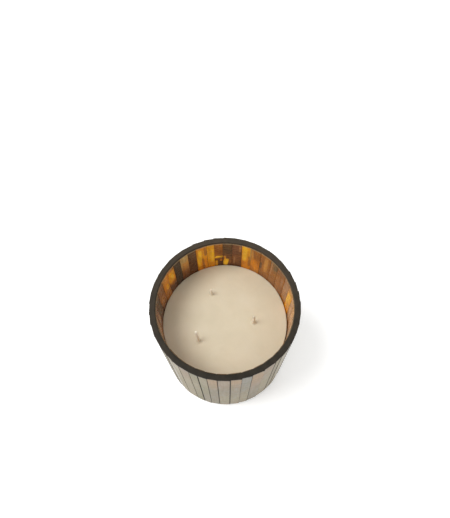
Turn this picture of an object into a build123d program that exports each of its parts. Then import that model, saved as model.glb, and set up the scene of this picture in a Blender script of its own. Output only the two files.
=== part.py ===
from build123d import *
import os
from math import cos, radians, sin

# A three-wick candle poured into a round resin cup. The cup is clad outside with flat staves of
# pale pearl shell, lined inside with strips of amber and brown shell, and closed on top by a
# flat black rim. Millimetres, +Z up. The origin is on the axis, on the surface it stands on.

# ------------------------------------------------------------------ driving dimensions
RIM_RADIUS = 65.0         # to the corners of the stave ring, level with the top of the rim
FOOT_RADIUS = 61.75       # to the same corners, level with the surface it stands on
HEIGHT = 125.0
RIM_BAND = 5.1            # width of the black band seen from above
RIM_THICKNESS = 1.6
LEDGE = 0.5               # how far the strips' top ends show inside the rim's inner edge

STAVE_THICKNESS = 1.6
STRIP_THICKNESS = 1.0
EDGE_CHAMFER = 0.22       # on the long edges of every stave and strip
LINING_JOINT_RECESS = 0.15  # how far the black resin in a lining joint lies below the faces
STAVE_JOINT_RECESS = 0.04   # the joints between staves are filled nearly flush
FLOOR_THICKNESS = 7.5

WAX_DEPTH = 44.0          # from the top of the rim down to the wax
WAX_SHRINK = 0.85         # gap between the wax and the lining at the wax surface
SHRINK_DEPTH = 5.0        # how far down that gap reaches
WAX_EDGE_RADIUS = 1.2
DIMPLE_RADIUS = 3.6       # shallow dip in the wax round each wick
DIMPLE_DEPTH = 0.45

WICK_RADIUS = 1.15
TAB_RADIUS = 9.0
TAB_THICKNESS = 0.4
TAB_NECK_RADIUS = 2.0
TAB_NECK_HEIGHT = 4.5
STICKER_RADIUS = 7.5
STICKER_THICKNESS = 0.8

FELT_THICKNESS = 1.5
FELT_RADIUS = 59.0

# Shell is cut by hand, so the widths run unevenly. Each list is the widths of one batch in the
# order they are laid, in mm round the wall, and the batch repeats until the circle is closed.
STAVE_COUNT = 45
STAVE_START = 220.3       # azimuth of the first joint, degrees from +X towards +Y
STAVE_WIDTHS = [6.9, 6.9, 9.9, 8.1, 7.8, 8.5, 10.7, 9.5, 8.8, 11.0, 11.3]
STAVE_GAPS = [0.80, 0.30, 0.35, 0.55, 0.85, 0.40, 0.60, 0.80, 0.30, 0.30, 0.30]
STAVE_PROUD = 0.22        # most that a stave stands in or out of line

STRIP_COUNT = 41
STRIP_START = 35.4
STRIP_WIDTHS = [9.0, 11.5, 9.7, 9.3, 9.3, 8.7, 8.0, 7.0, 10.7, 8.5, 8.8, 8.0, 9.6]
STRIP_GAPS = [0.30, 0.25, 0.40, 0.30, 0.25, 0.35, 0.30, 0.25, 0.40, 0.30, 0.30, 0.25, 0.35]
STRIP_PROUD = 0.08
# the shade of each strip in turn, all the way round from the first joint
STRIP_SHADES = [
    "dark", "brown", "amber", "amber", "brown", "dark", "brown", "amber", "amber", "brown",
    "tan", "dark", "amber", "brown", "brown", "dark", "brown", "brown", "tan", "tan",
    "brown", "amber", "amber", "brown", "dark", "brown", "amber", "tan", "brown", "amber",
    "dark", "brown", "amber", "brown", "tan", "tan", "tan", "tan", "amber", "tan",
    "brown",
]

# Wicks: distance from the axis and azimuth of the foot, then the free end above the wax as
# (sideways x, sideways y, height) steps from the foot.
WICKS = {
    "wick_back": (30.5, 115.0, [(0.1, 0.2, 4.5), (0.4, 0.8, 9.0)]),
    "wick_right": (26.4, -3.5, [(0.0, 0.2, 6.5), (0.2, 0.8, 13.5)]),
    "wick_front": (30.7, -143.5, [(-0.5, 0.7, 6.5), (-1.9, 3.3, 17.0)]),
}

# ------------------------------------------------------------------ derived levels and radii
RIM_LEVEL = HEIGHT - RIM_THICKNESS
FLOOR_LEVEL = FELT_THICKNESS + FLOOR_THICKNESS
WAX_LEVEL = HEIGHT - WAX_DEPTH
TAB_LEVEL = FLOOR_LEVEL + STICKER_THICKNESS
MOUTH_RADIUS = RIM_RADIUS - RIM_BAND
LINING_RADIUS = MOUTH_RADIUS - LEDGE


def scale_at(z):
    """How much of its rim size the tapered wall has at height z."""
    foot = FOOT_RADIUS / RIM_RADIUS
    return foot + (1 - foot) * z / HEIGHT


def polar(radius, azimuth):
    return (radius * cos(radians(azimuth)), radius * sin(radians(azimuth)))


# ------------------------------------------------------------------ the two rings of strips
class Strip:
    """One flat strip of a ring, in plan at rim level.

    The strip is a bar whose middle line points at azimuth `middle`. Its outward and inward faces
    lie at distances `outer` and `inner` from the axis. It reaches `left` to the side that the
    ring is laid towards, and `right` to the side that it is laid from.
    """

    def __init__(self, middle, outer, inner, left, right):
        self.middle = middle
        self.outer = outer
        self.inner = inner
        self.left = left
        self.right = right

    def point(self, distance, aside):
        """A plan point at this distance along the middle line and this far aside from it."""
        turn = radians(self.middle)
        x = distance * cos(turn) - aside * sin(turn)
        y = distance * sin(turn) + aside * cos(turn)
        return (x, y)


def ring_of_strips(count, start, widths, gaps, radius, thickness, proud, outward):
    """Strips with their corners on a circle, faces outward (staves) or inward (lining)."""
    laid = [widths[i % len(widths)] for i in range(count)]
    degrees = [360 * width / sum(laid) for width in laid]
    strips = []
    azimuth = start
    for i in range(count):
        half_angle = radians(degrees[i] / 2)
        shift = proud * sin(2.3 * i)
        face = radius * cos(half_angle) + shift
        half = radius * sin(half_angle)
        left = half - gaps[(i + 1) % count % len(gaps)] / 2
        right = half - gaps[i % len(gaps)] / 2
        back = face - thickness if outward else face + thickness
        strips.append(Strip(azimuth + degrees[i] / 2, max(face, back), min(face, back), left, right))
        azimuth += degrees[i]
    return strips


def stave_plan(strip):
    """Plan of an outer stave, chamfered at its outward corners."""
    c = EDGE_CHAMFER
    return [
        strip.point(strip.inner, -strip.right),
        strip.point(strip.outer - c, -strip.right),
        strip.point(strip.outer, c - strip.right),
        strip.point(strip.outer, strip.left - c),
        strip.point(strip.outer - c, strip.left),
        strip.point(strip.inner, strip.left),
    ]


def lining_plan(strip):
    """Plan of a lining strip, chamfered at its inward corners."""
    c = EDGE_CHAMFER
    return [
        strip.point(strip.outer, -strip.right),
        strip.point(strip.outer, strip.left),
        strip.point(strip.inner + c, strip.left),
        strip.point(strip.inner, strip.left - c),
        strip.point(strip.inner, c - strip.right),
        strip.point(strip.inner + c, -strip.right),
    ]


def core_outside_plan(staves):
    """Outside of the core: a flat behind each stave and a rib in each joint."""
    points = []
    for strip in staves:
        top = strip.outer - STAVE_JOINT_RECESS
        points.append(strip.point(top, -strip.right))
        points.append(strip.point(strip.inner, -strip.right))
        points.append(strip.point(strip.inner, strip.left))
        points.append(strip.point(top, strip.left))
    return points


def core_inside_plan(lining):
    """Inside of the core: a flat behind each lining strip and a rib in each joint."""
    points = []
    for strip in lining:
        top = strip.inner + LINING_JOINT_RECESS + EDGE_CHAMFER
        points.append(strip.point(top, -strip.right))
        points.append(strip.point(strip.outer, -strip.right))
        points.append(strip.point(strip.outer, strip.left))
        points.append(strip.point(top, strip.left))
    return points


# ------------------------------------------------------------------ tapered prisms
def level_points(plan, z):
    scale = scale_at(z)
    return [Vector(x * scale, y * scale, z) for x, y in plan]


def side_faces(plan, low, high):
    """The flat walls of a plan drawn out along the vessel's taper."""
    below = level_points(plan, low)
    above = level_points(plan, high)
    faces = []
    for i in range(len(plan)):
        j = (i + 1) % len(plan)
        corners = [below[i], below[j], above[j], above[i]]
        faces.append(Face(Wire.make_polygon(corners)))
    return faces


def flat_face(plan, z, hole=None):
    outer = Wire.make_polygon(level_points(plan, z))
    if hole is None:
        return Face(outer)
    return Face(outer, [Wire.make_polygon(level_points(hole, z))])


def solid_of(faces):
    """A closed solid from its faces, turned the right way out."""
    return Solid(Shell(faces)).fix()


def tapered_prism(plan, low, high):
    faces = side_faces(plan, low, high)
    return solid_of(faces + [flat_face(plan, low), flat_face(plan, high)])


def disc(radius, low, high):
    return Solid.make_cylinder(radius, high - low, Plane.XY.offset(low))


# ------------------------------------------------------------------ the vessel
def make_core(staves, lining):
    """The resin cup: floor and wall in one casting, with the ribs that fill the joints."""
    outside = core_outside_plan(staves)
    inside = core_inside_plan(lining)
    faces = side_faces(outside, FELT_THICKNESS, RIM_LEVEL)
    faces += side_faces(inside, FLOOR_LEVEL, RIM_LEVEL)
    faces.append(flat_face(outside, FELT_THICKNESS))
    faces.append(flat_face(inside, FLOOR_LEVEL))
    faces.append(flat_face(outside, RIM_LEVEL, hole=inside))
    return solid_of(faces)


def make_rim(staves):
    """The flat rim, sanded flush with the staves, so its outline steps where they do."""
    outline = []
    for strip in staves:
        outline.append(strip.point(strip.outer, -strip.right))
        outline.append(strip.point(strip.outer, strip.left))
    blank = tapered_prism(outline, RIM_LEVEL, HEIGHT)
    mouth = disc(MOUTH_RADIUS, RIM_LEVEL - 1, HEIGHT + 1)
    return blank - mouth


def make_felt():
    return disc(FELT_RADIUS, 0, FELT_THICKNESS)


# ------------------------------------------------------------------ the candle
def wick_foot(name):
    distance, azimuth, _ = WICKS[name]
    x, y = polar(distance, azimuth)
    return Vector(x, y, 0)


def make_wick(name):
    """A round wick: straight through the wax, then bent where it stands free."""
    foot = wick_foot(name)
    steps = WICKS[name][2]
    points = [foot + Vector(0, 0, TAB_LEVEL)]
    points += [foot + Vector(dx, dy, WAX_LEVEL + dz) for dx, dy, dz in steps]
    points.insert(1, foot + Vector(0, 0, WAX_LEVEL + 2))
    path = FilletPolyline(*points, radius=[4.0, 9.0])
    section = Plane.XY.offset(TAB_LEVEL).move(Location((foot.X, foot.Y, 0))) * Circle(WICK_RADIUS)
    return sweep(section, path=path)


def make_tab(foot):
    """A sheet metal disc with a neck crimped round the wick."""
    plate = disc(TAB_RADIUS, TAB_LEVEL, TAB_LEVEL + TAB_THICKNESS)
    neck = disc(TAB_NECK_RADIUS, TAB_LEVEL, TAB_LEVEL + TAB_NECK_HEIGHT)
    bore = disc(WICK_RADIUS, TAB_LEVEL - 1, TAB_LEVEL + TAB_NECK_HEIGHT + 1)
    return (plate + neck - bore).moved(Location(foot))


def make_sticker(foot):
    return disc(STICKER_RADIUS, FLOOR_LEVEL, TAB_LEVEL).moved(Location(foot))


def make_wax(lining):
    """The poured fill: against the lining below, shrunk clear of it at the surface."""
    shoulder = WAX_LEVEL - SHRINK_DEPTH
    outline = []
    for strip in lining:
        outline.append(strip.point(strip.inner, -strip.right))
        outline.append(strip.point(strip.inner, strip.left))
    wax = tapered_prism(outline, FLOOR_LEVEL, shoulder)
    top_radius = LINING_RADIUS * scale_at(WAX_LEVEL) - WAX_SHRINK
    top = disc(top_radius, shoulder - 1, WAX_LEVEL)
    brim = top.edges().sort_by(Axis.Z)[-1]
    wax = wax + fillet(brim, WAX_EDGE_RADIUS)
    for name in WICKS:
        foot = wick_foot(name)
        dimple = Solid.make_cone(WICK_RADIUS, DIMPLE_RADIUS, DIMPLE_DEPTH,
                                 Plane.XY.offset(WAX_LEVEL - DIMPLE_DEPTH))
        tab_room = disc(TAB_RADIUS, TAB_LEVEL, TAB_LEVEL + TAB_THICKNESS)
        neck_room = disc(TAB_NECK_RADIUS, TAB_LEVEL, TAB_LEVEL + TAB_NECK_HEIGHT)
        sticker_room = disc(STICKER_RADIUS, FLOOR_LEVEL, TAB_LEVEL)
        wick_room = disc(WICK_RADIUS, TAB_LEVEL, WAX_LEVEL + 1)
        for room in (dimple, tab_room, neck_room, sticker_room, wick_room):
            wax = wax - room.moved(Location((foot.X, foot.Y, 0)))
    return wax


# ------------------------------------------------------------------ writing the parts
def write(name, shapes):
    """One STEP file: a lone solid, or a group of separate solids."""
    solids = []
    for shape in shapes:
        solids += shape.solids()
    node = solids[0] if len(solids) == 1 else Compound(children=solids)
    export_step(node, f"parts/{name}.step")


def main():
    os.makedirs("parts", exist_ok=True)
    staves = ring_of_strips(STAVE_COUNT, STAVE_START, STAVE_WIDTHS, STAVE_GAPS,
                            RIM_RADIUS, STAVE_THICKNESS, STAVE_PROUD, outward=True)
    lining = ring_of_strips(STRIP_COUNT, STRIP_START, STRIP_WIDTHS, STRIP_GAPS,
                            LINING_RADIUS, STRIP_THICKNESS, STRIP_PROUD, outward=False)

    write("core_cup", [make_core(staves, lining)])
    write("rim_ring", [make_rim(staves)])
    write("base_felt", [make_felt()])
    for number, strip in enumerate(staves, start=1):
        stave = tapered_prism(stave_plan(strip), FELT_THICKNESS, RIM_LEVEL)
        write(f"stave_{number:02d}", [stave])

    for shade in sorted(set(STRIP_SHADES)):
        group = []
        for i, strip in enumerate(lining):
            if STRIP_SHADES[i] == shade:
                group.append(tapered_prism(lining_plan(strip), FLOOR_LEVEL, RIM_LEVEL))
        write(f"inner_strips_{shade}", group)

    write("wax_fill", [make_wax(lining)])
    feet = [wick_foot(name) for name in WICKS]
    for name in WICKS:
        write(name, [make_wick(name)])
    write("wick_tabs", [make_tab(foot) for foot in feet])
    write("wick_stickers", [make_sticker(foot) for foot in feet])


main()
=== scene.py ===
import math
from math import cos, pi, radians, sin

import bmesh
import bpy
from mathutils import Matrix, Vector, noise


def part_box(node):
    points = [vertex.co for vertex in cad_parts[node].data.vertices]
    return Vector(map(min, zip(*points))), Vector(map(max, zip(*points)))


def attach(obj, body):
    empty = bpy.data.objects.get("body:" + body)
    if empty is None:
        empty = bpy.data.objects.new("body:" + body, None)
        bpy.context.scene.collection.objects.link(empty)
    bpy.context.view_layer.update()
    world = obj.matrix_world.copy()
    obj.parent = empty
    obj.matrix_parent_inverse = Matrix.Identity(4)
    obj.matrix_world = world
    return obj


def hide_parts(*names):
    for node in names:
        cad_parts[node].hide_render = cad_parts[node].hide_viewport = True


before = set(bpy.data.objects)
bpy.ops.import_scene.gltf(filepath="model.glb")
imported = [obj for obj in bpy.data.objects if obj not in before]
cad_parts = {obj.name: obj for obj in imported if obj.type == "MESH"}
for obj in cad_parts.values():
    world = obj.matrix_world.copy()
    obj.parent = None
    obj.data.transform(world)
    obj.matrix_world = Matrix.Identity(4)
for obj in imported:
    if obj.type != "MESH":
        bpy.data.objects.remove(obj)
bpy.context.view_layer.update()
MM = 0.001

# ------------------------------------------------------------------ levels read from the frame
RIM_LOW, RIM_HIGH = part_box("rim_ring")
RIM_TOP = RIM_HIGH.z
STRIP_TOP = RIM_LOW.z
WAX_LOW, WAX_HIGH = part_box("wax_fill")
WAX_TOP = WAX_HIGH.z
WAX_FLOOR = WAX_LOW.z
STAVES = sorted(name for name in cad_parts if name.startswith("stave_"))
LININGS = sorted(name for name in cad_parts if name.startswith("inner_strips_"))
WICKS = ["wick_back", "wick_front", "wick_right"]


# ------------------------------------------------------------------ small helpers
def mix(a, b, share):
    return a + (b - a) * share


def smooth(x, low, high):
    """0 below low, 1 above high, and a smooth step between."""
    t = min(max((x - low) / (high - low), 0.0), 1.0)
    return t * t * (3 - 2 * t)


def azimuth(point):
    return math.atan2(point.y, point.x) % (2 * pi)


def outwards(turn):
    return Vector((cos(turn), sin(turn), 0))


def polar(radius, turn, z):
    return Vector((radius * cos(turn), radius * sin(turn), z))


def centre(points):
    return sum(points, Vector()) / len(points)


def axes_at(points, i):
    """The direction of a line of points at one of them, and two directions across it."""
    before = points[max(i - 1, 0)]
    after = points[min(i + 1, len(points) - 1)]
    tangent = (after - before).normalized()
    side = tangent.cross(Vector((0.2, 1, 0))).normalized()
    return tangent, side, tangent.cross(side)


def rough(x, y, z):
    """Smooth noise between about -1 and 1."""
    return noise.noise(Vector((x, y, z)))


def welded(node):
    """A CAD node's mesh with its split corners joined, as a bmesh that the caller frees."""
    bm = bmesh.new()
    bm.from_mesh(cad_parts[node].data)
    bmesh.ops.remove_doubles(bm, verts=bm.verts, dist=1e-6)
    return bm


def islands(node):
    """The corner points of each separate solid in a CAD node, in order round the axis."""
    bm = welded(node)
    left = set(bm.verts)
    found = []
    while left:
        start = left.pop()
        island, queue = [start], [start]
        while queue:
            for edge in queue.pop().link_edges:
                for vert in edge.verts:
                    if vert in left:
                        left.remove(vert)
                        island.append(vert)
                        queue.append(vert)
        found.append([vert.co.copy() for vert in island])
    bm.free()
    return sorted(found, key=lambda points: azimuth(centre(points)))


def make_piece(name, verts, faces, replaces, material, grain=None, crease=40):
    """A mesh piece that rides on the vessel and stands for its CAD nodes."""
    mesh = bpy.data.meshes.new(name)
    mesh.from_pydata(verts, [], faces)
    mesh.validate()
    if grain is not None:
        layer = mesh.attributes.new("grain", "FLOAT_VECTOR", "POINT")
        layer.data.foreach_set("vector", [value for point in grain for value in point])
    bm = bmesh.new()
    bm.from_mesh(mesh)
    bmesh.ops.recalc_face_normals(bm, faces=bm.faces)
    bm.to_mesh(mesh)
    bm.free()
    mesh.shade_smooth()
    mesh.set_sharp_from_angle(angle=radians(crease))
    piece = bpy.data.objects.new(name, mesh)
    bpy.context.scene.collection.objects.link(piece)
    mesh.materials.append(material)
    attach(piece, "root")
    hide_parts(*replaces)
    return piece


def skin(rows, wrap=False):
    """Quads between rings of points of equal length, and from the last to the first to wrap."""
    faces = []
    count = len(rows[0])
    for i in range(len(rows) if wrap else len(rows) - 1):
        for j in range(count):
            k = (j + 1) % count
            a, b = i * count, (i + 1) % len(rows) * count
            faces.append((a + j, a + k, b + k, b + j))
    return faces


# ------------------------------------------------------------------ material nodes
class Look:
    """A node material: a Principled shader and short calls for the nodes that feed it."""

    def __init__(self, name, **settings):
        self.material = bpy.data.materials.new(name)
        self.material.use_nodes = True
        self.nodes = self.material.node_tree.nodes
        self.links = self.material.node_tree.links
        self.shader = self.nodes["Principled BSDF"]
        for socket, value in settings.items():
            self.shader.inputs[socket.replace("_", " ")].default_value = value

    def node(self, kind, inputs=(), **settings):
        made = self.nodes.new(kind)
        for key, value in settings.items():
            setattr(made, key, value)
        for key, value in dict(inputs).items():
            if isinstance(value, bpy.types.NodeSocket):
                self.links.new(value, made.inputs[key])
            else:
                made.inputs[key].default_value = value
        return made

    def grain(self):
        """The piece's own pattern space: aside, along and seed."""
        return self.node("ShaderNodeAttribute", attribute_name="grain").outputs["Vector"]

    def place(self):
        return self.node("ShaderNodeTexCoord").outputs["Object"]

    def stretched(self, vector, scale, offset=(0, 0, 0)):
        made = self.node("ShaderNodeMapping", {"Vector": vector})
        made.inputs["Scale"].default_value = scale
        made.inputs["Location"].default_value = offset
        return made.outputs["Vector"]

    def noise(self, vector, scale, detail=3.0, roughness=0.5, distortion=0.0):
        inputs = {"Vector": vector, "Scale": scale, "Detail": detail,
                  "Roughness": roughness, "Distortion": distortion}
        return self.node("ShaderNodeTexNoise", inputs).outputs["Fac"]

    def math(self, operation, a, b=0.0, c=0.0):
        made = self.node("ShaderNodeMath", {0: a, 1: b, 2: c}, operation=operation)
        return made.outputs[0]

    def span(self, value, low, high, to_low=0.0, to_high=1.0):
        """value from low..high to to_low..to_high, clamped."""
        inputs = {"Value": value, "From Min": low, "From Max": high,
                  "To Min": to_low, "To Max": to_high}
        return self.node("ShaderNodeMapRange", inputs).outputs["Result"]

    def ramp(self, factor, stops):
        """A colour ramp through (position, colour) stops."""
        made = self.node("ShaderNodeValToRGB", {"Fac": factor})
        elements = made.color_ramp.elements
        while len(elements) < len(stops):
            elements.new(1.0)
        for element, (position, colour) in zip(elements, stops):
            element.position = position
            element.color = (*colour, 1.0)
        return made.outputs["Color"]

    def blend(self, factor, a, b, how="MIX"):
        made = self.node("ShaderNodeMix", data_type="RGBA", blend_type=how)
        for socket, value in ((made.inputs[0], factor), (made.inputs[6], a), (made.inputs[7], b)):
            if isinstance(value, bpy.types.NodeSocket):
                self.links.new(value, socket)
            elif isinstance(value, tuple):
                socket.default_value = (*value, 1.0)
            else:
                socket.default_value = value
        return made.outputs[2]

    def paint(self, **sockets):
        for key, value in sockets.items():
            self.links.new(value, self.shader.inputs[key.replace("_", " ")])

    def bump(self, height, strength, distance, under=None):
        inputs = {"Height": height, "Strength": strength, "Distance": distance}
        if under is not None:
            inputs["Normal"] = under
        return self.node("ShaderNodeBump", inputs).outputs["Normal"]


# ------------------------------------------------------------------ shell colours
SHADES = {
    "amber": (0.66, 0.220, 0.004),
    "gold": (0.80, 0.350, 0.006),
    "yolk": (1.00, 0.560, 0.022),
    "honey": (0.56, 0.250, 0.045),
    "rust": (0.36, 0.125, 0.012),
    "umber": (0.115, 0.038, 0.008),
    "mahogany": (0.24, 0.085, 0.018),
    "smoke": (0.130, 0.062, 0.022),
    "ink": (0.060, 0.030, 0.013),
    "rose": (0.200, 0.075, 0.030),
    "olive": (0.150, 0.090, 0.034),
    "straw": (0.52, 0.330, 0.110),
    "clay": (0.40, 0.190, 0.078),
    "sand": (0.60, 0.310, 0.125),
    "fawn": (0.42, 0.280, 0.160),
}

# Each lining strip's shades from the rim down to the wax. The order is the strips' order round the
# wall, anticlockwise from above, from the one at the vessel's right.
STRIP_LOOKS = [
    "sand sand clay", "clay gold gold amber", "clay clay rust", "mahogany rust rust mahogany",
    "olive rust mahogany", "rust rust rust mahogany", "rust rust amber rust", "gold gold amber amber",
    "rose rose mahogany umber", "smoke smoke mahogany umber", "rust rust rust umber umber",
    "gold gold gold amber", "amber gold amber amber", "smoke umber umber",
    "straw honey mahogany umber", "ink ink ink", "rust amber amber umber umber",
    "honey amber rust rust", "mahogany mahogany rust umber", "smoke smoke umber",
    "rose rose mahogany", "clay clay rust", "olive rust mahogany", "fawn olive mahogany",
    "mahogany rust umber", "amber rust rust", "gold amber rust", "mahogany umber umber",
    "ink smoke ink", "rust mahogany umber", "gold amber amber", "straw clay mahogany",
    "mahogany umber umber", "amber gold rust", "ink umber ink", "rust mahogany umber",
    "amber amber rust", "mahogany rose umber", "fawn fawn sand", "clay sand clay clay",
    "honey sand sand clay",
]

# Marks in a strip: millimetres aside and below the rim, half width, half length and shade.
STRIP_MARKS = {
    2: [(0.9, 19, 2.6, 11, "yolk")],
    4: [(-3.0, 17, 1.6, 9, "clay")],
    5: [(-2.3, 7, 2.2, 6, "olive"), (2.6, 12, 0.8, 12, "clay")],
    6: [(-1.2, 17, 2.4, 14, "honey"), (4.8, 23, 1.8, 7, "smoke")],
    7: [(-0.3, 27, 2.6, 10, "amber"), (3.4, 10, 1.4, 8, "honey")],
    8: [(1.6, 14, 2.2, 15, "yolk"), (-4.4, 12, 0.9, 16, "straw"), (-3.0, 26, 1.2, 10, "rust")],
    9: [(2.3, 31, 0.8, 7, "clay"), (-2.9, 8, 1.0, 6, "clay")],
    10: [(1.6, 35, 2.4, 7, "yolk"), (2.2, 28, 0.8, 5, "gold")],
    11: [(-0.4, 25, 4.4, 2.2, "yolk"), (2.4, 37, 1.4, 6, "gold"), (-2.2, 31, 1.2, 2.5, "amber")],
    12: [(-1.0, 20, 2.0, 13, "yolk")],
    13: [(2.2, 19, 2.0, 16, "yolk"), (-1.0, 32, 1.2, 12, "rust"), (-3.6, 9, 1.4, 9, "rust")],
    15: [(3.6, 9, 0.9, 14, "straw"), (0.3, 5, 2.6, 6, "straw")],
    17: [(0.2, 14, 4.2, 10, "gold"), (-0.7, 15, 1.8, 4, "yolk")],
    18: [(-1.2, 21, 2.2, 6, "gold"), (-2.7, 4, 1.6, 6, "amber")],
    21: [(0.0, 20, 2.2, 9, "clay")],
    27: [(0.0, 18, 2.4, 8, "yolk")],
    34: [(1.0, 24, 2.2, 9, "yolk")],
}
TIGER_STRIPS = (9, 10, 11, 20, 29, 36)       # these show their growth lines strongly


def lining_look(number, shades):
    """Amber shell: cloudy bands that drift across the strip, marks, fine growth lines and fibres."""
    look = Look(f"shell_lining_{number:02d}", Roughness=0.32, IOR=1.5, Specular_IOR_Level=0.16,
                Specular_Tint=(1.0, 0.76, 0.36, 1.0))
    grain = look.grain()
    parts = look.node("ShaderNodeSeparateXYZ", {"Vector": grain}).outputs
    aside, along = parts["X"], parts["Y"]
    clouds = look.noise(look.stretched(grain, (1, 0.7, 1)), 170, 3, 0.55, 0.8)
    slant = look.math("MULTIPLY", aside, 14 * sin(number * 2.7))
    drift = look.math("MULTIPLY_ADD", clouds, 0.30, look.math("ADD", slant, -0.15))
    where = look.math("ADD", look.span(along, STRIP_TOP, WAX_TOP), drift)
    words = shades.split()
    stops = [(i / (len(words) - 1), SHADES[word]) for i, word in enumerate(words)]
    colour = look.ramp(where, stops)
    for mark in STRIP_MARKS.get(number, []):
        colour = paint_mark(look, colour, aside, along, clouds, mark)

    zones = look.noise(look.stretched(grain, (1, 0.22, 1), (0, 0, 4.0)), 180, 2, 0.5, 0.8)
    colour = look.blend(0.50, colour, look.ramp(zones, [(0.32, (0.62, 0.52, 0.46)),
                                                        (0.50, (1.0, 1.0, 1.0)),
                                                        (0.66, (1.38, 1.45, 1.40))]), "MULTIPLY")
    fibres = look.noise(look.stretched(grain, (1, 0.05, 1)), 1500, 3, 0.6)
    colour = look.blend(0.16, colour, look.ramp(fibres, [(0.30, (0.66, 0.60, 0.55)),
                                                         (0.70, (1.25, 1.28, 1.30))]), "MULTIPLY")
    tilt = look.math("MULTIPLY_ADD", aside, 0.35 * sin(number * 1.3), along)
    rows = look.node("ShaderNodeCombineXYZ", {"X": look.math("MULTIPLY", aside, 0.12), "Y": tilt})
    lines = look.noise(rows.outputs[0], 620, 3, 0.55, 0.9)
    strength = 0.75 if number in TIGER_STRIPS else 0.10
    colour = look.blend(strength, colour, look.ramp(lines, [(0.38, (0.45, 0.36, 0.30)),
                                                            (0.60, (1.30, 1.32, 1.30))]), "MULTIPLY")
    # painted highlight: a pale band just below each strip's top, where its bevelled edge catches the
    # light
    painted_edge_highlight = look.span(along, STRIP_TOP - 1.1 * MM, STRIP_TOP - 0.6 * MM, 0.0, 0.45)
    colour = look.blend(painted_edge_highlight, colour, (0.70, 0.52, 0.30))
    cut_end = look.span(along, STRIP_TOP - 0.15 * MM, STRIP_TOP - 0.05 * MM, 0.0, 0.9)
    colour = look.blend(cut_end, colour, (0.105, 0.075, 0.048))
    look.paint(Base_Color=colour)
    look.paint(Roughness=look.span(clouds, 0.3, 0.7, 0.16, 0.36))
    waves = look.bump(look.noise(look.stretched(grain, (1, 0.3, 1)), 200, 2), 0.16, 0.3 * MM)
    look.paint(Normal=look.bump(fibres, 0.08, 0.05 * MM, waves))
    return look.material


def paint_mark(look, colour, aside, along, clouds, mark):
    """A soft-edged patch of another shade, with a ragged outline."""
    across, below, half_width, half_length, shade = mark
    v = look.math("MULTIPLY_ADD", along, 1 / (half_length * MM),
                  -(STRIP_TOP - below * MM) / (half_length * MM))
    leaning = look.math("MULTIPLY_ADD", v, 0.45 * sin(below * 1.1), -across / half_width)
    u = look.math("MULTIPLY_ADD", aside, 1 / (half_width * MM), leaning)
    squares = [look.math("MULTIPLY", way, way) for way in (u, v)]
    reach = look.math("ADD", look.math("MULTIPLY", squares[0], squares[0]),
                      look.math("MULTIPLY", squares[1], squares[1]))
    ragged = look.math("ADD", reach, look.math("MULTIPLY_ADD", clouds, 2.2, -1.1))
    return look.blend(look.span(ragged, 0.2, 1.3, 0.9, 0.0), colour, SHADES[shade])


PEARL_TINTS = {
    "white": (0.430, 0.410, 0.360),
    "ivory": (0.375, 0.348, 0.282),
    "cream": (0.315, 0.284, 0.215),
    "sage": (0.272, 0.256, 0.188),
    "grey": (0.272, 0.250, 0.200),
    "pink": (0.315, 0.262, 0.208),
    "peach": (0.355, 0.272, 0.192),
    "steel": (0.272, 0.266, 0.236),
}
# What each stave leans to, from its top to its foot, for a batch that repeats round the vessel.
STAVE_LEANS = [
    "ivory white white", "ivory cream cream", "pink cream cream", "sage cream sage",
    "cream sage grey", "peach grey grey", "pink grey cream", "peach grey cream",
    "steel grey cream", "peach pink grey", "pink cream cream", "cream grey cream",
    "ivory ivory cream", "white ivory ivory", "ivory white white", "white ivory white",
]


def pearl_look(number, leans):
    """Pale pearl shell: soft pools of tint, silky streaks along it, and a few growth lines."""
    look = Look(f"pearl_stave_{number:02d}", Roughness=0.5, IOR=1.5, Specular_IOR_Level=0.04)
    grain = look.grain()
    parts = look.node("ShaderNodeSeparateXYZ", {"Vector": grain}).outputs
    aside, along = parts["X"], parts["Y"]
    clouds = look.noise(look.stretched(grain, (1, 0.35, 1)), 110, 4, 0.55, 0.6)
    where = look.math("MULTIPLY_ADD", clouds, 0.5, look.span(along, RIM_TOP, 0.02, -0.30, 0.75))
    words = leans.split()
    tints = look.ramp(where, [(i * 0.38 + 0.08, PEARL_TINTS[word]) for i, word in enumerate(words)])

    pools = look.noise(look.stretched(grain, (1, 0.45, 1), (3.1, 0, 0)), 190, 3, 0.55, 1.6)
    shimmer = look.ramp(pools, [(0.28, (0.90, 0.99, 1.04)), (0.42, (1.0, 1.0, 1.0)),
                                (0.54, (1.07, 0.98, 0.95)), (0.66, (0.96, 1.03, 0.98)),
                                (0.76, (1.08, 1.06, 1.04))])
    colour = look.blend(0.75, tints, shimmer, "MULTIPLY")
    streaks = look.noise(look.stretched(grain, (1, 0.03, 1)), 1000, 4, 0.62, 0.2)
    colour = look.blend(0.40, colour, look.ramp(streaks, [(0.28, (0.74, 0.72, 0.69)),
                                                          (0.72, (1.20, 1.20, 1.20))]), "MULTIPLY")
    bow = look.math("MULTIPLY", look.math("MULTIPLY", aside, aside), 60 * sin(number * 1.9))
    rows = look.node("ShaderNodeCombineXYZ", {"X": look.math("MULTIPLY", aside, 0.3),
                                              "Y": look.math("ADD", along, bow)})
    lines = look.noise(rows.outputs[0], 300, 4, 0.65, 0.6)
    colour = look.blend(0.30, colour, look.ramp(lines, [(0.32, (0.80, 0.77, 0.72)),
                                                        (0.60, (1.06, 1.06, 1.06))]), "MULTIPLY")
    look.paint(Base_Color=colour)
    look.paint(Roughness=look.span(pools, 0.3, 0.7, 0.42, 0.60))
    waves = look.bump(look.noise(look.stretched(grain, (1, 0.25, 1)), 170, 2), 0.3, 0.3 * MM)
    look.paint(Normal=look.bump(streaks, 0.08, 0.05 * MM, waves))
    return look.material


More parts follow.
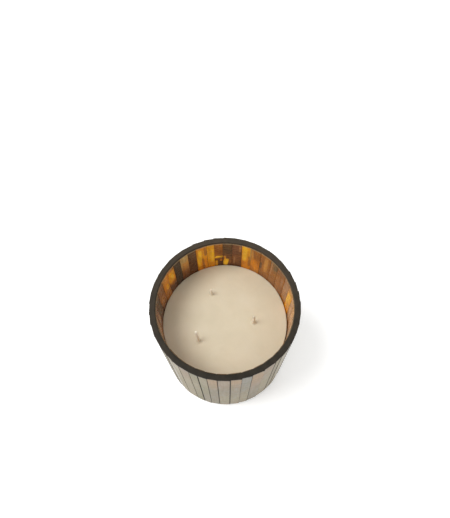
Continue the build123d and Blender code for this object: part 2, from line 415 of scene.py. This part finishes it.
def resin_look(name, gloss):
    """Black cast resin, sanded satin: pale dust in the scratches, and painted light that makes it
    paler at the back and darker at the front.
    """
    look = Look(name, Roughness=0.5, IOR=1.5, Specular_IOR_Level=gloss)
    place = look.place()
    mottle = look.noise(place, 150, 5, 0.6)
    scratches = look.noise(look.stretched(place, (1, 0.08, 1)), 2600, 2, 0.5)
    depth = look.node("ShaderNodeSeparateXYZ", {"Vector": place}).outputs["Y"]
    # painted light: the tone is painted paler towards the back (Y) and darker towards the front; the
    # mottle mixed in is the resin's own uneven tone
    mottle_and_painted_light = look.math("MULTIPLY_ADD", mottle, 0.7, look.span(depth, -0.06, 0.06, -0.10, 0.40))
    colour = look.ramp(mottle_and_painted_light, [(0.15, (0.0130, 0.0110, 0.0068)), (0.85, (0.0530, 0.0400, 0.0270))])
    dusty = look.span(scratches, 0.62, 0.78, 0.0, 0.35)
    look.paint(Base_Color=look.blend(dusty, colour, (0.075, 0.064, 0.045)))
    look.paint(Roughness=look.span(mottle, 0.3, 0.7, 0.36, 0.56))
    fine = look.bump(look.noise(place, 900, 3), 0.15, 0.08 * MM)
    look.paint(Normal=look.bump(scratches, 0.12, 0.03 * MM, fine))
    return look.material


def wax_look():
    """Poured cream wax: faint clouding and frosting, a soft skin that lets light in."""
    look = Look("cream_wax", Roughness=0.48, IOR=1.44, Specular_IOR_Level=0.35,
                Subsurface_Weight=0.30, Subsurface_Scale=0.003,
                Subsurface_Radius=(1.0, 0.80, 0.60))
    place = look.place()
    clouds = look.noise(place, 38, 4, 0.55, 0.4)
    colour = look.ramp(clouds, [(0.30, (0.605, 0.540, 0.395)), (0.52, (0.640, 0.572, 0.426)),
                                (0.72, (0.665, 0.600, 0.455))])
    frost = look.noise(look.stretched(place, (1, 1, 0.4)), 520, 4, 0.7)
    colour = look.blend(look.span(frost, 0.58, 0.74, 0.0, 0.22), colour, (0.74, 0.66, 0.53))
    specks = look.noise(place, 1700, 2, 0.5)
    colour = look.blend(look.span(specks, 0.70, 0.78, 0.0, 0.25), colour, (0.50, 0.39, 0.26))
    look.paint(Base_Color=colour)
    look.paint(Roughness=look.span(frost, 0.35, 0.7, 0.42, 0.60))
    swell = look.bump(look.noise(place, 60, 3), 0.25, 0.4 * MM)
    look.paint(Normal=look.bump(frost, 0.10, 0.06 * MM, swell))
    return look.material


def wick_look(name, tip_tone_and_highlight):
    """Waxed cotton braid: cream fibres, and a tip of its own colour, which on the front wick is paled
    as a painted highlight.
    """
    look = Look(name, Roughness=0.62, IOR=1.45, Sheen_Weight=0.25, Subsurface_Weight=0.1,
                Subsurface_Scale=0.001, Subsurface_Radius=(1.0, 0.9, 0.75))
    grain = look.grain()
    along = look.node("ShaderNodeSeparateXYZ", {"Vector": grain}).outputs["Y"]
    fibres = look.noise(look.stretched(grain, (1, 0.10, 1)), 5200, 3, 0.6)
    colour = look.ramp(fibres, [(0.30, (0.82, 0.70, 0.50)), (0.70, (0.97, 0.89, 0.72))])
    tip = look.span(along, -5.0 * MM, -1.0 * MM, 0.0, 0.8)
    look.paint(Base_Color=look.blend(tip, colour, tip_tone_and_highlight))
    look.paint(Roughness=look.span(fibres, 0.3, 0.7, 0.50, 0.75))
    look.paint(Normal=look.bump(fibres, 0.35, 0.06 * MM))
    return look.material


def felt_look():
    """Black pressed felt: matted fibres with grey lint."""
    look = Look("black_felt", Roughness=0.95, IOR=1.3, Sheen_Weight=0.12)
    place = look.place()
    fibres = look.noise(place, 2600, 4, 0.75, 1.5)
    colour = look.ramp(fibres, [(0.35, (0.010, 0.010, 0.010)), (0.70, (0.055, 0.053, 0.050))])
    lint = look.noise(look.stretched(place, (1, 0.15, 1)), 1500, 2, 0.5, 2.0)
    look.paint(Base_Color=look.blend(look.span(lint, 0.70, 0.76, 0, 0.5), colour, (0.16, 0.16, 0.15)))
    look.paint(Roughness=look.span(fibres, 0.3, 0.7, 0.85, 1.0))
    look.paint(Normal=look.bump(fibres, 0.6, 0.15 * MM))
    return look.material


def metal_look():
    """Tinned sheet: brushed, with dull patches."""
    look = Look("tinned_sheet", Metallic=1.0, Roughness=0.35)
    place = look.place()
    brushed = look.noise(look.stretched(place, (1, 0.04, 1)), 3000, 2, 0.5)
    dull = look.noise(place, 300, 3, 0.5)
    look.paint(Base_Color=look.ramp(dull, [(0.3, (0.50, 0.49, 0.46)), (0.7, (0.72, 0.71, 0.69))]))
    look.paint(Roughness=look.span(brushed, 0.3, 0.7, 0.28, 0.50))
    look.paint(Normal=look.bump(brushed, 0.15, 0.03 * MM))
    return look.material


def foam_look():
    """Adhesive foam: off-white, with fine cells."""
    look = Look("adhesive_foam", Roughness=0.8, IOR=1.4)
    place = look.place()
    cells = look.node("ShaderNodeTexVoronoi", {"Vector": place, "Scale": 2500.0}).outputs["Distance"]
    look.paint(Base_Color=look.ramp(cells, [(0.0, (0.52, 0.50, 0.45)), (0.6, (0.78, 0.77, 0.72))]))
    look.paint(Roughness=look.span(cells, 0.0, 0.6, 0.7, 0.9))
    look.paint(Normal=look.bump(cells, 0.4, 0.08 * MM))
    return look.material


# ------------------------------------------------------------------ shell strips
FACE_COLUMNS = 9
STRIP_ROWS = 30
STAVE_CROWN = 0.10 * MM     # how far the middle of a face swells out
LINING_CROWN = 0.04 * MM
LINING_SPREAD = 0.09 * MM   # how much wider than its CAD solid a lining strip is on each side
FACE_RIPPLE = 0.09 * MM
ARC_SHARE = 0.41            # where an edge's arc passes, from its chord to its corner
# How each stave was set by hand: millimetres that its middle stands out, and that its far edge
# stands out beyond its near edge, going anticlockwise. The batch repeats round the vessel.
STAVE_SETTING = [(-0.20, 0.0), (-0.05, 0.0), (0.20, -0.2), (-0.15, 0.0), (0.0, 0.2), (0.15, 0.0),
                 (-0.10, 0.1), (0.12, 0.5), (0.0, 0.6), (-0.22, 0.5), (0.05, 0.25)]


class Corners:
    """The six long edges of a CAD strip, each as its lower and upper end."""

    def __init__(self, points, outward):
        turn = azimuth(centre(points))
        out = outwards(turn)
        side = outwards(turn + pi / 2)
        low, high = min(p.z for p in points), max(p.z for p in points)
        self.back, self.shoulder, self.face = [], [], []
        for level in (low, high):
            ring = [p for p in points if abs(p.z - level) < 1e-5]
            ring.sort(key=lambda p: p.dot(out), reverse=not outward)
            for pair, group in zip((ring[:2], ring[2:4], ring[4:]),
                                   (self.back, self.shoulder, self.face)):
                group.append(sorted(pair, key=lambda p: p.dot(side)))

    def at(self, group, which, share):
        return group[0][which].lerp(group[1][which], share)


def strip_rows(corners, crown, seed, proud, spread):
    """Cross-sections of a strip from bottom to top: rounded edges and a gently uneven face."""
    rows, grain = [], []
    for i in range(STRIP_ROWS + 1):
        share = i / STRIP_ROWS
        back = [corners.at(corners.back, k, share) for k in (0, 1)]
        shoulder = [corners.at(corners.shoulder, k, share) for k in (0, 1)]
        face = [corners.at(corners.face, k, share) for k in (0, 1)]
        across = (face[1] - face[0]).normalized()
        step = face[0] - shoulder[0]
        normal = (step - across * step.dot(across)).normalized()
        for pair in (back, shoulder, face):
            pair[:] = [pair[0] - across * spread, pair[1] + across * spread]
        for pair in (shoulder, face):
            pair[:] = [point + normal * out for point, out in zip(pair, proud)]
        line = [back[0], shoulder[0], rounded(shoulder[0], face[0], across)]
        for j in range(FACE_COLUMNS):
            u = j / (FACE_COLUMNS - 1)
            point = face[0].lerp(face[1], u)
            bulge = crown * 4 * u * (1 - u)
            bulge += FACE_RIPPLE * rough(u * 1.3, point.z * 45, seed) * smooth(min(u, 1 - u), 0, 0.2)
            line.append(point + normal * bulge)
        line += [rounded(shoulder[1], face[1], across), shoulder[1], back[1]]
        middle = (face[0] + face[1]) / 2
        rows.append(line)
        grain += [((p - middle).dot(across), p.z, seed) for p in line]
    return rows, grain


def rounded(shoulder, face, across):
    """The middle of the arc that rounds a strip's long edge."""
    step = (face - shoulder).dot(across)
    corner = face - across * step
    return ((shoulder + face) / 2).lerp(corner, ARC_SHARE)


def make_strip(name, points, outward, node, material, seed, proud=(0.0, 0.0)):
    corners = Corners(points, outward)
    crown, spread = (STAVE_CROWN, 0.0) if outward else (LINING_CROWN, LINING_SPREAD)
    rows, grain = strip_rows(corners, crown, seed, proud, spread)
    verts = [tuple(p) for row in rows for p in row]
    faces = skin(rows)
    width = len(rows[0])
    faces.append(tuple(range(width)))
    faces.append(tuple(range(len(verts) - width, len(verts))))
    return make_piece(name, verts, faces, [node], material, grain, crease=30)


def stave_proud(number):
    """How far a stave's near and far edges stand out beyond its drawn face."""
    out, twist = STAVE_SETTING[(number - 1) % len(STAVE_SETTING)]
    return ((out - twist / 2) * MM, (out + twist / 2) * MM)


def make_staves():
    for number, node in enumerate(STAVES, start=1):
        material = pearl_look(number, STAVE_LEANS[(number - 1) % len(STAVE_LEANS)])
        points = islands(node)[0]
        make_strip(f"pearl_stave_{number:02d}", points, True, node, material,
                   number * 0.37, stave_proud(number))


def make_lining():
    found = []
    for node in LININGS:
        found += [(points, node) for points in islands(node)]
    found.sort(key=lambda item: azimuth(centre(item[0])))
    for number, ((points, node), shades) in enumerate(zip(found, STRIP_LOOKS), start=1):
        make_strip(f"lining_strip_{number:02d}", points, False, node,
                   lining_look(number, shades), 50 + number * 0.41)


# ------------------------------------------------------------------ rim
RIM_EDGE = 0.45 * MM        # radius of its worn edges
RIM_LAP = 0.15 * MM         # how far it stands out beyond the staves
RIM_END = 0.10 * MM         # how far each of its steps passes its stave's sides
RIM_PITCH = 1.1 * MM        # about the distance from one cross-section to the next
RIM_UNEVEN = 0.05 * MM
RIM_SCRATCH = 0.03 * MM
EDGE_STEPS = 5
TOP_STEPS = 5


def rim_outline():
    """The rim's outer outline: just beyond the top of each stave, so it steps where they do."""
    points = []
    for number, node in enumerate(STAVES, start=1):
        corners = Corners(islands(node)[0], True)
        ends = [corners.at(corners.face, which, 1.0) for which in (0, 1)]
        for end in ends:
            end.z = 0
        across = (ends[1] - ends[0]).normalized()
        out = Vector((across.y, -across.x, 0))
        near, far = stave_proud(number)
        start = ends[0] - across * RIM_END + out * (near + RIM_LAP)
        end = ends[1] + across * RIM_END + out * (far + RIM_LAP)
        pieces = round((end - start).length / RIM_PITCH)
        points += [start.lerp(end, k / pieces) for k in range(pieces + 1)]
    return points


def make_rim(material):
    """A flat band with worn round edges, sanded a little unevenly."""
    inner_radius = min(v.co.xy.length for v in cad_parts["rim_ring"].data.vertices)
    quarter = [k / (EDGE_STEPS - 1) * pi / 2 for k in range(EDGE_STEPS)]
    rings = []
    for point in rim_outline():
        turn = azimuth(point)
        outside = point.xy.length
        inside = inner_radius + RIM_UNEVEN * rough(3 * cos(turn), 3 * sin(turn), 7)
        top = RIM_TOP - RIM_UNEVEN + RIM_UNEVEN * rough(4 * cos(turn), 4 * sin(turn), 2)
        ring = [polar(outside, turn, STRIP_TOP)]
        for a in quarter:
            ring.append(polar(outside - RIM_EDGE * (1 - cos(a)), turn,
                              top - RIM_EDGE * (1 - sin(a))))
        for k in range(1, TOP_STEPS):
            u = k / TOP_STEPS
            lift = RIM_SCRATCH * rough(outside * 900 * u, 9 * cos(turn), 9 * sin(turn))
            ring.append(polar(mix(outside - RIM_EDGE, inside + RIM_EDGE, u), turn, top + lift))
        for a in quarter:
            ring.append(polar(inside + RIM_EDGE * (1 - sin(a)), turn,
                              top - RIM_EDGE * (1 - cos(a))))
        ring.append(polar(inside, turn, STRIP_TOP))
        rings.append(ring)
    verts = [tuple(p) for ring in rings for p in ring]
    faces = skin(rings, wrap=True)
    make_piece("black_rim", verts, faces, ["rim_ring"], material, crease=35)


# ------------------------------------------------------------------ candle
SHRINK_AZIMUTH = 332       # where the wax stands furthest from the wall
CREEP_RADIUS = 3.4 * MM    # the wax that has crept up a wick starts this far from its middle
CREEP_HEIGHT = 1.7 * MM
WICK_GRIP = 1.08 * MM      # the wax meets the wick this far from its middle
WICK_DIP = 0.45 * MM       # how far the wax sinks round a wick
DIP_INNER = 1.6 * MM
DIP_OUTER = 6.5 * MM
WAX_DISH = 0.35 * MM       # how far the middle of the surface sinks
WAX_WAVES = 0.10 * MM
WAX_RIPPLE = 0.03 * MM
WAX_CURL = 0.7 * MM        # radius of the surface's edge
WAX_HELD = 0.62 * MM       # how far past its CAD edge the wax reaches, where it holds the wall
WAX_RAGGED = 0.10 * MM
OUTER = 50 * MM            # corners of the CAD wax further out than this are on its wall
WAX_SECTORS = 288
WAX_RINGS = 96


def wick_feet():
    """Where each wick leaves the wax."""
    feet = {}
    for name in WICKS:
        verts = [v.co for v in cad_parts[name].data.vertices]
        low = min(v.z for v in verts)
        foot = [v for v in verts if v.z < low + 0.2 * MM]
        feet[name] = Vector((*centre(foot).xy, WAX_TOP))
    return feet


FEET = wick_feet()


def wax_height(x, y, radius, edge):
    """The wax surface: a slight dish, faint waves, and a dip and a steep fillet at each wick."""
    height = -WAX_DISH * smooth(1 - radius / edge, 0.0, 0.7)
    height += WAX_WAVES * rough(x * 45, y * 45, 1) + WAX_RIPPLE * rough(x * 260, y * 260, 3)
    for foot in FEET.values():
        away = math.hypot(x - foot.x, y - foot.y)
        height -= WICK_DIP * (1 - smooth(away, DIP_INNER, DIP_OUTER))
        height += CREEP_HEIGHT * (1 - smooth(away, WICK_GRIP, CREEP_RADIUS)) ** 2
    return height


def wax_outline(level):
    """Radius of the CAD wax at each sector, on its flat-sided lower part."""
    bm = welded("wax_fill")
    corners = [v.co.copy() for v in bm.verts
               if abs(v.co.z - level) < 1e-5 and v.co.xy.length > OUTER]
    bm.free()
    corners.sort(key=azimuth)
    radii = []
    for s in range(WAX_SECTORS):
        out = outwards(wax_turn(s)).xy
        best = 1.0
        for i, a in enumerate(corners):
            b = corners[(i + 1) % len(corners)]
            edge = b.xy - a.xy
            across = Vector((edge.y, -edge.x))
            facing = out.dot(across)
            if facing > 1e-9:
                best = min(best, a.xy.dot(across) / facing)
        radii.append(best)
    return radii


def make_wax(material):
    """The poured fill, with a rounded edge that stands clear of the lining where it has shrunk."""
    level_points = sorted({round(v.co.z, 5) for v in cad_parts["wax_fill"].data.vertices
                           if v.co.xy.length > OUTER})
    shoulder = max(z for z in level_points if z < WAX_TOP - 3 * MM)
    foot_radii = wax_outline(WAX_FLOOR)
    wall_radii = wax_outline(shoulder)
    edge = max(v.co.xy.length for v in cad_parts["wax_fill"].data.vertices
               if v.co.z > shoulder + 1 * MM)
    rows = []
    for share in (0.35, 0.7, 1.0):
        rows.append([polar(r * share, wax_turn(s), WAX_FLOOR) for s, r in enumerate(foot_radii)])
    for share in (0.25, 0.5, 0.75, 1.0):
        rows.append([polar(mix(a, b, share), wax_turn(s), mix(WAX_FLOOR, shoulder, share))
                     for s, (a, b) in enumerate(zip(foot_radii, wall_radii))])
    for rise in (0.0, 0.3, 0.6, 0.85):
        rows.append([polar(wax_edge(edge, s), wax_turn(s), mix(shoulder, WAX_TOP - WAX_CURL, rise))
                     for s in range(WAX_SECTORS)])
    for k in range(1, 6):
        a = k / 5 * pi / 2
        row = []
        for s in range(WAX_SECTORS):
            radius = wax_edge(edge, s) - WAX_CURL * (1 - cos(a))
            point = polar(radius, wax_turn(s), WAX_TOP - WAX_CURL * (1 - sin(a)))
            point.z += wax_height(point.x, point.y, radius, edge) * sin(a)
            row.append(point)
        rows.append(row)
    for k in range(1, WAX_RINGS):
        row = []
        for s in range(WAX_SECTORS):
            radius = (wax_edge(edge, s) - WAX_CURL) * (1 - k / WAX_RINGS)
            point = polar(radius, wax_turn(s), WAX_TOP)
            point.z += wax_height(point.x, point.y, radius, edge)
            row.append(point)
        rows.append(row)
    verts = [tuple(p) for row in rows for p in row]
    faces = skin(rows)
    faces += fan(verts, 0, Vector((0, 0, WAX_FLOOR)))
    top = WAX_TOP + wax_height(0, 0, 0, edge)
    faces += fan(verts, WAX_SECTORS * (len(rows) - 1), Vector((0, 0, top)))
    make_piece("wax_candle", verts, faces, ["wax_fill"], material, crease=60)


def wax_turn(sector):
    return 2 * pi * sector / WAX_SECTORS


def wax_edge(edge, sector):
    """The wax has let go at the front right. Elsewhere it presses up to 0.2 mm into the lining."""
    turn = wax_turn(sector)
    away = 0.5 + 0.5 * cos(turn - radians(SHRINK_AZIMUTH))
    held = WAX_HELD * smooth(1 - away, 0.06, 0.30)
    return edge + held + WAX_RAGGED * rough(5 * cos(turn), 5 * sin(turn), 11)


def fan(verts, start, hub):
    """Triangles that close the ring which starts at this vertex, round a new hub."""
    verts.append(tuple(hub))
    middle = len(verts) - 1
    return [(start + s, start + (s + 1) % WAX_SECTORS, middle) for s in range(WAX_SECTORS)]


# ------------------------------------------------------------------ wicks
CORE_RADIUS = 0.90 * MM
CORE_SIDES = 12
PLIES = 8
PLY_RADIUS = 0.42 * MM
PLY_SIDES = 8
BRAID_RADIUS = 0.74 * MM    # from the middle of the wick to the middle of a ply
PLY_WAVE = 0.09 * MM        # how far a ply rises and sinks; crossing plies press into each other
BRAID_PITCH = 7.5 * MM
STEP = 0.35 * MM
FRAYED = 2.0 * MM           # length at the tip where the plies spread
TAPERED = 0.8 * MM          # length at the tip where they thin


def wick_route(name):
    """Points up the middle of the wick, a step apart, from its tab to its tip."""
    verts = [v.co.copy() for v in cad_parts[name].data.vertices]
    low = min(v.z for v in verts)
    foot = FEET[name]
    start = Vector((foot.x, foot.y, low))
    bend = Vector((foot.x, foot.y, WAX_TOP - 1 * MM))
    high = max(v.z for v in verts)
    end = [v for v in verts if v.z > high - 1.0 * MM]
    tip = centre(end)
    reach = (tip - bend).length
    lean = tip - Vector((bend.x, bend.y, tip.z))
    handles = (bend + Vector((0, 0, reach * 0.45)), tip - Vector((lean.x, lean.y, reach * 0.5)) * 0.5)
    points = []
    count = round((bend.z - start.z) / STEP)
    points += [start.lerp(bend, i / count) for i in range(count)]
    count = round(reach / STEP)
    for i in range(count + 1):
        t = i / count
        a = bend.lerp(handles[0], t).lerp(handles[0].lerp(handles[1], t), t)
        b = handles[0].lerp(handles[1], t).lerp(handles[1].lerp(tip, t), t)
        points.append(a.lerp(b, t))
    return points


def tube(points, radii, alongs, sides, verts, faces, grain, seed):
    """A round tube along points, closed flat at its start and by a small dome at its end."""
    first = len(verts)
    for i, point in enumerate(points):
        tangent, side, other = axes_at(points, i)
        for k in range(sides):
            a = 2 * pi * k / sides
            verts.append(tuple(point + (side * cos(a) + other * sin(a)) * radii[i]))
            grain.append((a / (2 * pi) * 2 * MM, alongs[i], seed))
    for i in range(len(points) - 1):
        for k in range(sides):
            m = (k + 1) % sides
            a, b = first + i * sides, first + (i + 1) * sides
            faces.append((a + k, a + m, b + m, b + k))
    for ring, point in ((0, points[0]), (len(points) - 1, points[-1] + tangent * radii[-1] * 0.5)):
        verts.append(tuple(point))
        grain.append((0, alongs[ring], seed))
        for k in range(sides):
            faces.append((first + ring * sides + k, first + ring * sides + (k + 1) % sides,
                          len(verts) - 1))


def make_wick(name, tip_tone_and_highlight, seed):
    """Plies wound round a core, half of them each way, that rise and sink a little in turn."""
    route = wick_route(name)
    length = sum((b - a).length for a, b in zip(route, route[1:]))
    verts, faces, grain = [], [], []
    alongs = [(i + 1 - len(route)) * length / (len(route) - 1) for i in range(len(route))]
    tube(route, [CORE_RADIUS] * len(route), alongs, CORE_SIDES, verts, faces, grain, seed)
    for ply in range(PLIES):
        way = 1 if ply % 2 else -1
        cut = len(route) - 1 - round(2 * abs(rough(ply * 1.7, seed, 0)))
        points, radii = [], []
        walked = 0.0
        for i, point in enumerate(route[:cut + 1]):
            _, side, other = axes_at(route, i)
            if i:
                walked += (point - route[i - 1]).length
            turn = 2 * pi * walked / BRAID_PITCH
            angle = way * turn + (ply // 2) * pi / 2
            splay = 1 + 0.35 * smooth(walked, length - FRAYED, length) * rough(ply, seed, 5)
            away = (BRAID_RADIUS + way * PLY_WAVE * cos(4 * turn)) * splay
            points.append(point + (side * cos(angle) + other * sin(angle)) * away)
            radii.append(PLY_RADIUS * (1 - 0.25 * smooth(walked, length - TAPERED, length)))
        tube(points, radii, alongs, PLY_SIDES, verts, faces, grain, seed + ply * 0.13)
    make_piece(f"{name}_braid", verts, faces, [name],
               wick_look(f"{name}_cotton", tip_tone_and_highlight), grain, crease=80)


# ------------------------------------------------------------------ underside
FELT_SECTORS = 180
FELT_FRAY = 0.25 * MM


def make_felt(material):
    """The felt disc under the foot, with a soft cut edge."""
    low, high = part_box("base_felt")
    radius = (high.x - low.x) / 2
    profile = [(0.30, 0.0), (0.65, 0.0), (0.9, 0.0), (0.985, 0.0), (0.997, 0.12), (1.0, 0.35),
               (1.0, 0.65), (0.997, 0.9), (0.985, 1.0), (0.9, 1.0), (0.65, 1.0), (0.30, 1.0)]
    rings = []
    for share, rise in profile:
        ring = []
        for s in range(FELT_SECTORS):
            turn = 2 * pi * s / FELT_SECTORS
            fray = FELT_FRAY * (rough(40 * cos(turn), 40 * sin(turn), rise * 3) - 1)
            ring.append(polar(radius * share + fray * smooth(share, 0.95, 1.0), turn,
                              mix(low.z, high.z, rise)))
        rings.append(ring)
    verts = [tuple(p) for ring in rings for p in ring]
    faces = skin(rings)
    faces.append(tuple(range(FELT_SECTORS)))
    faces.append(tuple(range(len(verts) - FELT_SECTORS, len(verts))))
    make_piece("felt_base", verts, faces, ["base_felt"], material, crease=50)


def dress(node, material):
    """A CAD node that stays as it is, with its finished material."""
    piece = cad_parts[node]
    piece.data.materials.clear()
    piece.data.materials.append(material)


# ------------------------------------------------------------------ stage, light and camera
FLOOR_GLOW = 0.18
FLOOR_REACH = 6.0
FELT_SINK = 0.05 * MM      # how far the felt's lowest fibres press into the table


def make_floor():
    """A pale table that glows a little, so that it stays pale under the vessel's shadow."""
    mesh = bpy.data.meshes.new("floor")
    corners = [(x * FLOOR_REACH, y * FLOOR_REACH, FELT_SINK)
               for x, y in ((-1, -1), (1, -1), (1, 1), (-1, 1))]
    mesh.from_pydata(corners, [], [(0, 1, 2, 3)])
    floor = bpy.data.objects.new("floor", mesh)
    bpy.context.scene.collection.objects.link(floor)
    look = Look("pale_floor", Roughness=0.9, Specular_IOR_Level=0.1,
                Emission_Color=(1.0, 1.0, 1.0, 1.0), Emission_Strength=FLOOR_GLOW)
    soft = look.noise(look.place(), 6, 3)
    look.paint(Base_Color=look.ramp(soft, [(0.3, (0.955, 0.955, 0.95)), (0.7, (0.975, 0.975, 0.97))]))
    mesh.materials.append(look.material)


KEY_AZIMUTH = 180
KEY_ELEVATION = 62
KEY_WIDTH = 28            # degrees of sky that the soft light fills
KEY_STRENGTH = 1.72
HORIZON_STRENGTH = 0.72
ZENITH_STRENGTH = 0.90


def make_sky():
    """An even white studio, brighter overhead than at the horizon."""
    world = bpy.data.worlds.new("studio")
    world.use_nodes = True
    nodes, links = world.node_tree.nodes, world.node_tree.links
    place = nodes.new("ShaderNodeTexCoord")
    split = nodes.new("ShaderNodeSeparateXYZ")
    climb = nodes.new("ShaderNodeMapRange")
    climb.inputs["From Min"].default_value = 0.0
    climb.inputs["To Min"].default_value = HORIZON_STRENGTH
    climb.inputs["To Max"].default_value = ZENITH_STRENGTH
    links.new(place.outputs["Generated"], split.inputs[0])
    links.new(split.outputs["Z"], climb.inputs["Value"])
    links.new(climb.outputs["Result"], nodes["Background"].inputs["Strength"])
    nodes["Background"].inputs["Color"].default_value = (1.0, 1.0, 1.0, 1.0)
    bpy.context.scene.world = world


def make_key():
    lamp = bpy.data.lights.new("key", "SUN")
    lamp.energy = KEY_STRENGTH
    lamp.angle = radians(KEY_WIDTH)
    key = bpy.data.objects.new("key", lamp)
    bpy.context.scene.collection.objects.link(key)
    rise, turn = radians(KEY_ELEVATION), radians(KEY_AZIMUTH)
    towards = Vector((cos(rise) * cos(turn), cos(rise) * sin(turn), sin(rise)))
    key.rotation_euler = towards.to_track_quat("Z", "Y").to_euler()


# the camera stands in front of and above the vessel, and looks down into it
CAMERA_PLACE = Vector((-0.0007, -0.1548, RIM_TOP + 0.4080))
CAMERA_PITCH = radians(64.11)
CAMERA_YAW = radians(0.53)
CAMERA_ROLL = radians(-0.89)
CAMERA_LENS = 35.30


def make_camera():
    ahead = Vector((sin(CAMERA_YAW) * cos(CAMERA_PITCH), cos(CAMERA_YAW) * cos(CAMERA_PITCH),
                    -sin(CAMERA_PITCH)))
    right = Vector((cos(CAMERA_YAW), -sin(CAMERA_YAW), 0))
    up = right.cross(ahead)
    right_rolled = right * cos(CAMERA_ROLL) + up * sin(CAMERA_ROLL)
    up_rolled = up * cos(CAMERA_ROLL) - right * sin(CAMERA_ROLL)
    lens = bpy.data.cameras.new("camera")
    lens.lens = CAMERA_LENS
    camera = bpy.data.objects.new("camera", lens)
    turn = Matrix((right_rolled, up_rolled, -ahead)).transposed().to_4x4()
    camera.matrix_world = Matrix.Translation(CAMERA_PLACE) @ turn
    bpy.context.scene.collection.objects.link(camera)
    bpy.context.scene.camera = camera


# ------------------------------------------------------------------ build
bpy.context.scene.view_settings.view_transform = "Standard"
make_camera()
make_sky()
make_key()
make_floor()

dress("core_cup", resin_look("joint_resin", 0.01))
dress("wick_tabs", metal_look())
dress("wick_stickers", foam_look())
make_rim(resin_look("sanded_resin", 0.15))
make_staves()
make_lining()
make_wax(wax_look())
make_wick("wick_back", (0.84, 0.72, 0.56), 1.0)
# the front wick's pale tip is a painted highlight
make_wick("wick_front", (0.95, 0.89, 0.74), 2.0)
make_wick("wick_right", (0.62, 0.55, 0.42), 3.0)
make_felt(felt_look())
